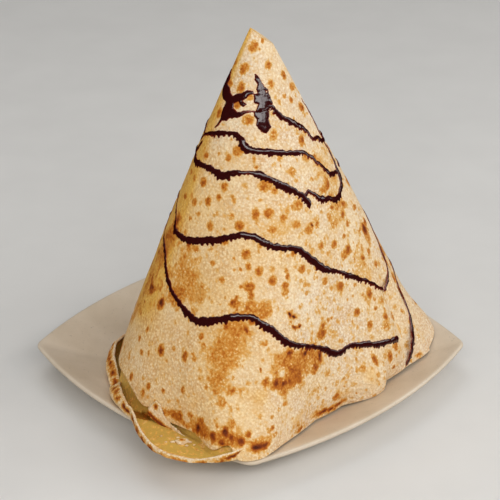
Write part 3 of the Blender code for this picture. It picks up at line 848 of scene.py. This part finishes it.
# Each fold's rim: how far it reaches from the axis, and its height, as (azimuth, mm)
LEFT_REACH = (
    (152, 90), (158, 98.5), (166, 101), (176, 100.5), (188, 99.5), (196, 99.5), (204, 101.5), (210, 101),
)
LEFT_TOP = (
    (152, 20), (158, 24.5), (166, 26), (180, 26.5), (188, 25), (196, 20), (204, 14), (210, 12),
)
FRONT_REACH = (
    (196, 94), (201, 102.5), (208, 106.5), (216, 108.5), (224, 109.8), (228, 114), (234, 122.5),
    (240, 129.5), (246, 133.5), (253, 134), (260, 131), (265, 127.5), (269, 121),
)
FRONT_TOP = (
    (196, 20), (201, 27.5), (208, 31.5), (216, 33.5), (226, 33.5), (236, 30.5), (247, 27.5), (256, 27.5),
    (262, 30.5), (269, 33),
)
# How far the rim leans back in over the hollow
LEFT_LEAN = ((152, 1), (162, 3), (172, 4), (184, 6), (200, 6.5), (210, 6))
FRONT_LEAN = ((196, 4), (201, 6.5), (209, 6.5), (216, 3.5), (222, 0), (290, 0))
LIP_ROWS = 40
HEM_STEPS = 8                   # rows that turn the rim over


def smooth_route(points, step):
    """Points about a step apart on a smooth curve through a list of points."""
    points = [np.asarray(p, float) for p in points]
    ends = [2 * points[0] - points[1], *points, 2 * points[-1] - points[-2]]
    route = []
    for p0, p1, p2, p3 in zip(ends, ends[1:], ends[2:], ends[3:]):
        count = max(1, round(float(np.linalg.norm(p2 - p1)) / step))
        for i in range(count):
            t = i / count
            route.append(0.5 * (2 * p1 + (p2 - p0) * t + (2 * p0 - 5 * p1 + 4 * p2 - p3) * t ** 2
                                + (3 * p1 - p0 - 3 * p2 + p3) * t ** 3))
    return np.array(route + [points[-1]])


def lengths_along(line):
    """Distance along a line of points at each of them."""
    return np.concatenate(([0], np.cumsum(np.linalg.norm(np.diff(line, axis=0), axis=1))))


def evenly(line, count):
    """A number of points spread evenly along a line."""
    lengths = lengths_along(line)
    want = np.linspace(0, lengths[-1], count + 1)
    return np.column_stack([np.interp(want, lengths, line[:, i]) for i in range(line.shape[1])])


def lip_section(azimuth, reach_stops, top_stops, lean_stops, count):
    """The lip's centre line: from its root inside the cone, down, and out and up to its rim."""
    azimuth = float(azimuth)
    out = radial(azimuth)
    edge = edge_fall(azimuth)
    rim = AXIS + out * between(reach_stops, azimuth)
    rim[2] = between(top_stops, azimuth)
    foot = foot_point(azimuth)
    reach = float((rim - foot) @ out) + LIP_ROLL
    inner = foot - out * LIP_DEPTH
    belly = foot + out * reach
    floor = [inner, inner + (belly - inner) * 0.6, belly]
    for spot, lift in zip(floor, (0, 0, LIP_ROLL)):
        spot[2] = lip_floor(spot) + lift
    root = [lining(azimuth, edge - 0.07, SHEET / 2), lining(azimuth, edge - 0.035, LIP_DEPTH)]
    lean = between(lean_stops, azimuth)
    if lean > 0.5:
        side = rim.copy()
        side[2] = belly[2] + 0.6 * (rim[2] - belly[2])
        belly -= out * lean * 0.3
        belly[2] = lip_floor(belly) + LIP_ROLL
        floor.append(side)
        rim -= out * lean
    line = evenly(smooth_route([*root, *floor, rim], 2), count)
    line[:, 2] = np.maximum(line[:, 2], lip_floor(line))
    return line


def lip_floor(spot):
    """Lowest height for the lip's centre line over the plate."""
    return plate_top(spot) + CLEARANCE + LIP_SHEET * 0.7


def fold_faces(azimuths, lines, seed):
    """Places on the fold's upper face, round its hem and back along its lower face."""
    share = np.linspace(0, 1, LIP_ROWS + 1)
    waver = np.array([ripple(line, 14, seed, 2) for line in lines])
    along = np.gradient(lines, axis=1)
    sideways = radial(azimuths + 90)[:, None, :]
    below = unit(np.cross(np.broadcast_to(sideways, along.shape), along))
    lines = lines + below * (waver * 0.5 * share)[..., None]
    half = 0.55 + 0.4 * ease((share - 0.9) / 0.08)
    thick = below * half[:, None]
    out = unit(along[:, -1]) * half[-1]
    turns = [math.pi * step / HEM_STEPS for step in range(1, HEM_STEPS)]
    hem = [lines[:, -1] - thick[:, -1] * math.cos(turn) + out * math.sin(turn) for turn in turns]
    return np.concatenate((lines - thick, np.stack(hem, axis=1), (lines + thick)[:, ::-1]), axis=1)


def tint_fold(fold, azimuth, where, row, seed):
    """Brown the outside below the hem, paint shade inside as a dark oval where a hole shows the dark inside
    of the cone, and oil the hollow between pale crumbs.
    """
    from_rim = row - LIP_ROWS - HEM_STEPS
    blotch = ripple(where, 5, seed + 9, 2)
    strip = np.exp(-((from_rim - 2.2) / 1.7) ** 2) * np.clip(0.75 + 1.3 * blotch, 0.15, 1.2)
    reach = np.hypot(where[:, 0] - AXIS[0], where[:, 1] - AXIS[1])
    # Painted shade: a dark oval added to the toast of the fold's upper face stands in for the shadowed inside
    # of the cone seen through a hole there.
    painted_hole_shade = np.hypot((azimuth - 225) / 5.2, (reach - 102.5) / 5.2)
    toast = 0.78 * strip + np.where(row < LIP_ROWS, 0.5 * (1 - ease((painted_hole_shade - 0.8) / 0.35)), 0)
    paint(fold, "toast", np.clip(toast, 0, 1))
    crumbs = ripple(where, 3.5, seed + 4, 2)
    oily = ease((LIP_ROWS - 2.5 - row) / 3) * (0.92 - 0.45 * ease((crumbs - 0.12) / 0.3))
    paint(fold, "gold", np.where(row <= LIP_ROWS, oily, 0.2 * ease((from_rim - 2) / 6)))


def make_fold(name, reach_stops, top_stops, lean_stops, columns, seed):
    """One fold of the lip, its rim turned over into a soft round hem."""
    last_row = 2 * LIP_ROWS + HEM_STEPS
    fold = new_grid(name, columns, last_row)
    join_sides(fold, 1)
    flat = spots_of(fold)
    across = np.rint((flat[:, 0] + 0.5) * columns).astype(int)
    row = np.rint((flat[:, 1] + 0.5) * last_row).astype(int)
    azimuths = np.linspace(reach_stops[0][0], reach_stops[-1][0], columns + 1)
    lines = [lip_section(azimuth, reach_stops, top_stops, lean_stops, LIP_ROWS) for azimuth in azimuths]
    where = fold_faces(azimuths, np.array(lines), seed)[across, row]
    where[:, 2] = np.maximum(where[:, 2], plate_top(where) + CLEARANCE * 0.6)
    lay(fold, where)
    tint_fold(fold, azimuths[across], where, row, seed)
    close_up(fold)
    smooth(fold, 60)
    return fold


bread = cone.data.materials[0]
for fold in (make_fold("left_fold", LEFT_REACH, LEFT_TOP, LEFT_LEAN, 70, 3),
             make_fold("front_fold", FRONT_REACH, FRONT_TOP, FRONT_LEAN, 140, 4)):
    finish_piece(fold, bread, "prata")


# ---- Flakes torn from the sheet ----

# The torn strip below the raised edge, as (azimuth, height)
STRIP = (
    (230.9, 39), (228.5, 34), (228, 31), (228.6, 28.5), (233, 26.2), (239, 23), (245, 21.6), (249, 22.6),
    (249, 25.2), (245.5, 25.8), (239.5, 28), (235.5, 31.5), (233, 38),
)
# Crumbs lying in the hollow of the front fold, as (azimuth, reach, length, width)
CRUMBS = (
    (247.2, 115, 8.5, 5.5), (244.6, 117.5, 3.4, 2.4), (249.6, 113.5, 3, 2), (245, 111.5, 2.4, 1.8),
    (249.5, 118, 2, 1.6), (242.6, 119.5, 1.6, 1.2), (251.6, 115.5, 1.6, 1.2), (239.5, 115, 1.6, 1.4),
)


def make_flake(name, outline, lift, ragged, toast_at):
    """A thin leaf of bread over the skin; toast_at gives its browning from azimuth and height."""
    flake, azimuth, height, depth = cut_on_skin(name, outline, (), 0.5, ragged)
    fall = fall_at(azimuth, height)
    on_skin = skin(azimuth, fall)
    rise = lift + 0.4 * np.exp(-((depth - 0.7) / 0.7) ** 2) + 0.25 * ripple(on_skin, 3, 12, 2)
    lay(flake, on_skin + skin_normal(azimuth, fall) * rise[:, None])
    paint(flake, "toast", toast_at(azimuth, height))
    paint(flake, "gold", np.zeros(len(depth)))
    trim_and_thicken(flake, depth < -0.05, 0.9)
    return flake


def strip_toast(azimuth, height):
    """Browning along the strip's lower edge, and a spot near its top."""
    low_edge = height - np.interp(azimuth, (228, 233, 239, 245, 249), (29, 26.2, 23, 21.6, 22.4))
    browned = 0.85 * np.exp(-((low_edge - 1) / 1.3) ** 2) * ease((248 - azimuth) / 5)
    spot = 0.75 * np.exp(-((azimuth - 231.4) / 0.9) ** 2 - ((height - 35.5) / 1.8) ** 2)
    return browned + spot


def make_crumbs():
    """Soft torn crumbs, the largest with a browned middle."""
    chance = random.Random(21)
    crumbs = []
    for azimuth, reach, length, width in CRUMBS:
        line = lip_section(azimuth, FRONT_REACH, FRONT_TOP, FRONT_LEAN, LIP_ROWS)[12:]
        spot = AXIS + radial(azimuth) * reach
        spot[2] = np.interp(reach, np.hypot(line[:, 0] - AXIS[0], line[:, 1] - AXIS[1]), line[:, 2]) + 0.9
        is_largest = length > 5
        bpy.ops.object.select_all(action="DESELECT")
        bpy.ops.mesh.primitive_ico_sphere_add(subdivisions=5 if is_largest else 3, radius=1)
        crumb = bpy.context.object
        ball = spots_of(crumb)
        swell = 1 + 0.42 * ripple(ball * 4, 2.4, chance.randrange(100), 3)
        brown = np.exp(-((ball[:, 0] / 0.4) ** 2 + (ball[:, 1] / 0.45) ** 2)) * is_largest
        lay(crumb, spot + ball * swell[:, None] * np.array((length / 2, width / 2, 0.32 * width)))
        paint(crumb, "toast", 0.5 * brown)
        paint(crumb, "gold", np.zeros(len(brown)))
        smooth(crumb)
        crumbs.append(crumb)
    bpy.ops.object.select_all(action="DESELECT")
    for crumb in crumbs:
        crumb.select_set(True)
    bpy.context.view_layer.objects.active = crumbs[0]
    bpy.ops.object.join()
    crumbs[0].name = crumbs[0].data.name = "torn_crumbs"
    return crumbs[0]


finish_piece(make_flake("torn_strip", STRIP, 0.9, 0.25, strip_toast), bread, "prata")
finish_piece(make_crumbs(), bread, "prata")


# ---- Chocolate ----

SPACING, BACK_SPACING = 0.36, 0.8   # between the rings of a bead of sauce
BEAD_SIDES = 16
# Trails: (name, route as (azimuth, height, width)); past 360 is a further turn
TRAILS = (
    ("first_ring", (
        (228, 219, 4), (241, 219, 3), (252, 222, 1.4), (265, 222, 1.4), (275, 222, 3.4), (285, 224, 2.8),
        (299, 217, 3.4), (322, 209, 4), (338, 203, 2.8), (346, 195, 2.2), (357, 193, 3.4),
        (370, 188, 3.4), (420, 192, 3.4), (480, 199, 3), (530, 203, 3.2), (552, 200, 3),
    )),
    ("second_ring", (
        (180, 193, 2), (199, 201, 2.4), (222, 206, 3.4), (245, 208, 3.6), (258, 201, 5), (274, 199, 4),
        (298, 195, 3.8), (324, 190, 2.8), (343, 177, 2.4), (352, 169, 4), (364, 166, 2.8),
    )),
    ("side_run", (
        (365, 219, 1), (369, 208, 1.6), (368, 195, 1.8), (367.5, 180, 2), (366, 170, 2.6),
        (364.5, 165, 4.4), (363, 160, 4), (356, 155.5, 3.8), (347, 153.5, 4.4), (337, 157, 3.6),
        (326.5, 160.5, 4.2), (321, 164.5, 2.8), (314, 168, 2.6), (309, 166.5, 3),
    )),
    ("third_ring", (
        (197, 196, 2.8), (187, 186, 3), (196, 183, 4), (226, 185, 4), (240, 183, 5.2), (250, 186, 4),
        (263, 187, 2.4), (272, 185, 5), (280, 182, 3.2), (288, 178, 5), (305, 169, 3.6), (311, 163, 5.5),
        (312, 158, 2),
    )),
    ("third_ring_back", (
        (188, 187, 3), (160, 182, 3.4), (120, 177, 3.2), (70, 172, 3.4), (15, 165, 3),
    )),
    ("fourth_ring", (
        (181, 154, 1.5), (192, 150, 1.8), (203, 146, 2.2), (210, 140, 4.2), (224, 140, 4.8),
        (240, 144, 5.2), (254, 149, 4), (266, 151, 4.3), (280, 143, 4.5), (296, 137, 4.2), (304, 130, 5),
        (311, 123, 4.8), (317, 117, 5), (328, 111, 2.6), (337, 104, 4.2), (349, 94, 2.8), (359, 80, 2.4),
    )),
    ("fourth_ring_back", (
        (359, 79, 2.2), (366, 84, 2.4), (375, 98, 2.2), (379, 112, 2), (385, 125, 3), (420, 135, 3.6),
        (470, 143, 3.4), (542, 151, 2),
    )),
    ("fifth_ring", (
        (176, 136, 2), (185, 128, 1.6), (204, 125, 3), (218, 111, 3.2), (231, 102, 3.4), (244, 97, 5.2),
        (258, 103, 4.8), (268, 104, 4), (276, 97, 4.4), (287, 82, 4.2), (300, 73, 2.8), (312, 64, 4.2),
        (319, 58, 5), (328, 59, 3.4), (337, 55, 4.2), (347, 49, 4.8), (358, 44, 4),
    )),
    ("fifth_ring_back", (
        (176, 136, 2.4), (150, 124, 3.4), (100, 102, 3.6), (50, 84, 3.4), (26, 84, 2.8), (15, 71, 2.2),
        (12, 57, 2.8), (7, 45, 3.2), (3, 31, 3.2), (0, 19, 2.6),
    )),
)


def follow(route, spacing):
    """Even places along a route: distance from its start, azimuth, height and width."""
    path = smooth_route(route, 0.4)
    lengths = lengths_along(skin(path[:, 0], fall_at(path[:, 0], path[:, 1]), 1))
    want = np.linspace(0, lengths[-1], max(8, round(lengths[-1] / spacing)) + 1)
    return want, *(np.interp(want, lengths, path[:, i]) for i in range(3))


def drips_along(lengths, chance):
    """How far small drips hang below a trail's lower edge at each place along it."""
    hang = np.zeros(len(lengths))
    at = 1.0
    while at < lengths[-1] - 1:
        reach, half = chance.uniform(0.4, 2.7) * chance.uniform(0.4, 1), chance.uniform(0.7, 1.5)
        hang = np.maximum(hang, reach * np.sqrt(np.clip(1 - ((lengths - at) / half) ** 2, 0, 1)))
        at += chance.uniform(1.8, 4.4)
    return hang


def waver_along(lengths, size, seed, layer):
    """Soft random change of about a size along a line, from -1 to 1."""
    return np.array([noise.noise(Vector((length / size, seed, layer))) for length in lengths])


def blurred(values, reach):
    """Running mean over a number of places to each side."""
    window = np.ones(2 * reach + 1) / (2 * reach + 1)
    return np.convolve(np.pad(values, reach, mode="edge"), window, mode="valid")


def make_trail(name, route, seed):
    """A rounded bead of sauce along a route, its lower edge broken into small drips."""
    want, azimuth, height, width = follow(route, BACK_SPACING if "back" in name else SPACING)
    wide = degree_length(azimuth, fall_at(azimuth, height))
    soft = max(1, round(1.6 / (want[1] - want[0])))
    step_across = blurred(np.gradient(azimuth) * wide, soft)
    step_up = blurred(np.gradient(height) * SLANT, soft)
    span = np.hypot(step_across, step_up)
    side_across, side_up = -step_up / span, step_across / span

    lumps = waver_along(want, 3.4, seed * 7.7, 0) + 0.5 * waver_along(want, 1.3, seed, 9)
    sway = waver_along(want, 4.5, seed * 3.1, 4) + 0.4 * waver_along(want, 1.8, seed, 2)
    azimuth = azimuth + 0.8 * sway * side_across / wide
    height = height + 0.8 * sway * side_up / SLANT
    taper = np.sqrt(np.clip(np.minimum(want, want[-1] - want) / 1.8, 0, 1))
    half = width / 2 * (0.93 + 0.34 * lumps) * taper
    hang = drips_along(want, random.Random(seed)) * taper * np.clip(np.abs(side_up) * 1.6, 0.35, 1)
    thick = np.clip(width * taper / 4, 0.3, 1.1) * (1 + 0.2 * np.interp(want - 1.5, want, sway))

    trail = new_grid("sauce_" + name, BEAD_SIDES, len(want) - 1)
    flat = spots_of(trail)
    turn = (flat[:, 0] + 0.5) * 2 * math.pi
    at = np.rint((flat[:, 1] + 0.5) * (len(want) - 1)).astype(int)
    sideways, rise = np.cos(turn), np.sin(turn)
    is_lower = sideways * np.where(side_up[at] > 0, -1, 1) > 0
    aside = sideways * half[at] + np.where(is_lower, sideways * np.abs(sideways) ** 5 * hang[at], 0)
    lift = np.where(rise > 0, np.abs(rise) ** 0.8 * thick[at], rise * 0.5) - 0.12
    azimuth = azimuth[at] + aside * side_across[at] / wide[at]
    fall = fall_at(azimuth, height[at] + aside * side_up[at] / SLANT)
    past_seam = (azimuth - SEAM_AZIMUTH) % 360
    on_skin = skin(azimuth, fall, np.maximum(past_seam / 360, ease(1 - past_seam / 7)))
    lift += crumple(on_skin) * fade(fall)
    lay(trail, on_skin + skin_normal(azimuth, fall) * lift[:, None])
    paint(trail, "thick", np.clip(rise, 0, 1) * thick[at])
    close_up(trail, 0.00003)
    smooth(trail)
    return trail


# Puddles of sauce: (name, outline as (azimuth, height), openings in it)
PUDDLES = (
    ("upper_blot", (
        (259, 243), (265, 241.5), (270, 239), (275, 236), (282, 233.5), (284, 230.5), (289, 225),
        (283, 225), (286, 223), (281, 222.5), (272, 221.5), (265, 222), (268, 226), (261, 227),
        (262, 229.5), (260, 231.5), (267, 232), (264, 234.5), (265, 237.5), (259, 240),
    ), (((277, 233.8), (282, 232.6), (279, 231.6)),)),
    ("lower_blot", (
        (263, 222), (272, 222.5), (280, 222.5), (282, 219.5), (281, 217), (282, 214), (284, 212),
        (278, 209), (272, 210.5), (267, 214), (267, 217.5), (263, 219.5),
    ), ()),
    ("side_blot", (
        (188, 243), (196, 240.5), (205, 237.5), (203, 234.5), (214, 233.5), (220, 231), (227, 229),
        (234, 231), (242, 232), (249, 233.8), (258, 233.3), (260, 232), (253, 231.5), (250, 229.5),
        (244, 227.5), (251, 226), (248, 224.5), (244, 225), (239, 227), (232, 225.5), (234, 222.5),
        (241, 220.5), (250, 221.5), (257, 222.4), (252, 220.8), (244, 218), (233, 217), (228, 214.5),
        (222, 214), (218, 210), (214, 208), (219, 214), (218, 217), (217, 220), (219, 225), (210, 225.5),
        (201, 227.5), (185, 231),
    ), ()),
)


def make_puddle(name, outline, openings):
    """A thin pool of sauce that fills an outline on the skin."""
    puddle, azimuth, height, depth = cut_on_skin("sauce_" + name, outline, openings, 0.34, 0.32)
    depth = depth + 0.3
    fall = fall_at(azimuth, height)
    on_skin = skin(azimuth, fall)
    swell = 0.12 * ripple(on_skin, 4.5, 6, 2)
    lift = np.where(depth > 0, (0.72 + swell) * (1 - np.exp(-np.maximum(depth, 0) / 0.55)), depth * 1.2)
    lift = np.maximum(lift, -0.7) + crumple(on_skin) * fade(fall) + 0.04
    lay(puddle, on_skin + skin_normal(azimuth, fall) * lift[:, None])
    paint(puddle, "thick", np.clip(depth / 0.9, 0, 1))
    trim_and_thicken(puddle, depth < -0.55, 0.5)
    return puddle


sauce = chocolate_sauce()
for number, (name, route) in enumerate(TRAILS):
    finish_piece(make_trail(name, route, number + 1), sauce)
for name, outline, openings in PUDDLES:
    finish_piece(make_puddle(name, outline, openings), sauce)

make_plate()


# ---- Studio ----

def make_studio():
    """A pale floor, soft lamps and a faint even light."""
    bpy.ops.object.select_all(action="DESELECT")
    bpy.ops.mesh.primitive_plane_add(size=6)
    floor = bpy.context.object
    floor.name = "studio_floor"
    floor.data.materials.append(pale_floor())
    floor.visible_glossy = False
    add_softbox("front_key", (0.1, -1.45, 1.15), (0, 0, 0.1), (1.4, 0.4), 12.5)
    add_softbox("side_key", (1.35, -0.75, 1.15), (0, 0, 0.1), (1.7, 0.4), 12)
    add_softbox("left_fill", (-1.3, -0.9, 0.7), (0, 0, 0.1), (1.2, 1.2), 5.5, False)
    add_softbox("right_strip", (1.45, 0.25, 0.65), (0, 0, 0.12), (0.3, 1.2), 5)
    add_softbox("top_soft", (-0.3, 0.5, 1.7), (0, 0, 0.1), (1.2, 1.2), 6)
    world = bpy.data.worlds.new("studio_air")
    bpy.context.scene.world = world
    world.use_nodes = True
    air = world.node_tree.nodes["Background"]
    air.inputs["Color"].default_value = (1, 1, 1, 1)
    air.inputs["Strength"].default_value = 0.2
    world.cycles_visibility.glossy = False
    bpy.context.scene.view_settings.view_transform = "Standard"


def add_softbox(name, place, aim, size, power, glints=True):
    """An oblong lamp turned to a point; without glints it isn't mirrored in what is glossy."""
    bpy.ops.object.light_add(type="AREA", location=place)
    lamp = bpy.context.object
    lamp.name = name
    lamp.data.shape = "RECTANGLE"
    lamp.data.size, lamp.data.size_y = size
    lamp.data.energy = power
    lamp.visible_glossy = glints
    lamp.rotation_euler = (Vector(aim) - Vector(place)).to_track_quat("-Z", "Y").to_euler()


def make_camera():
    """Looks down on the plate from in front."""
    tilt = math.radians(27.71)
    reach = 1.35
    aim_height = 0.09815
    place = (-0.00008, -reach * math.cos(tilt), aim_height + reach * math.sin(tilt))
    bpy.ops.object.camera_add(location=place)
    camera = bpy.context.object
    camera.rotation_euler = (math.pi / 2 - tilt, 0, 0)
    camera.rotation_euler.rotate_axis("Z", math.radians(-0.16))
    camera.data.sensor_width = 36
    camera.data.lens = 140.7
    camera.data.clip_end = 20
    bpy.context.scene.camera = camera


make_studio()
make_camera()
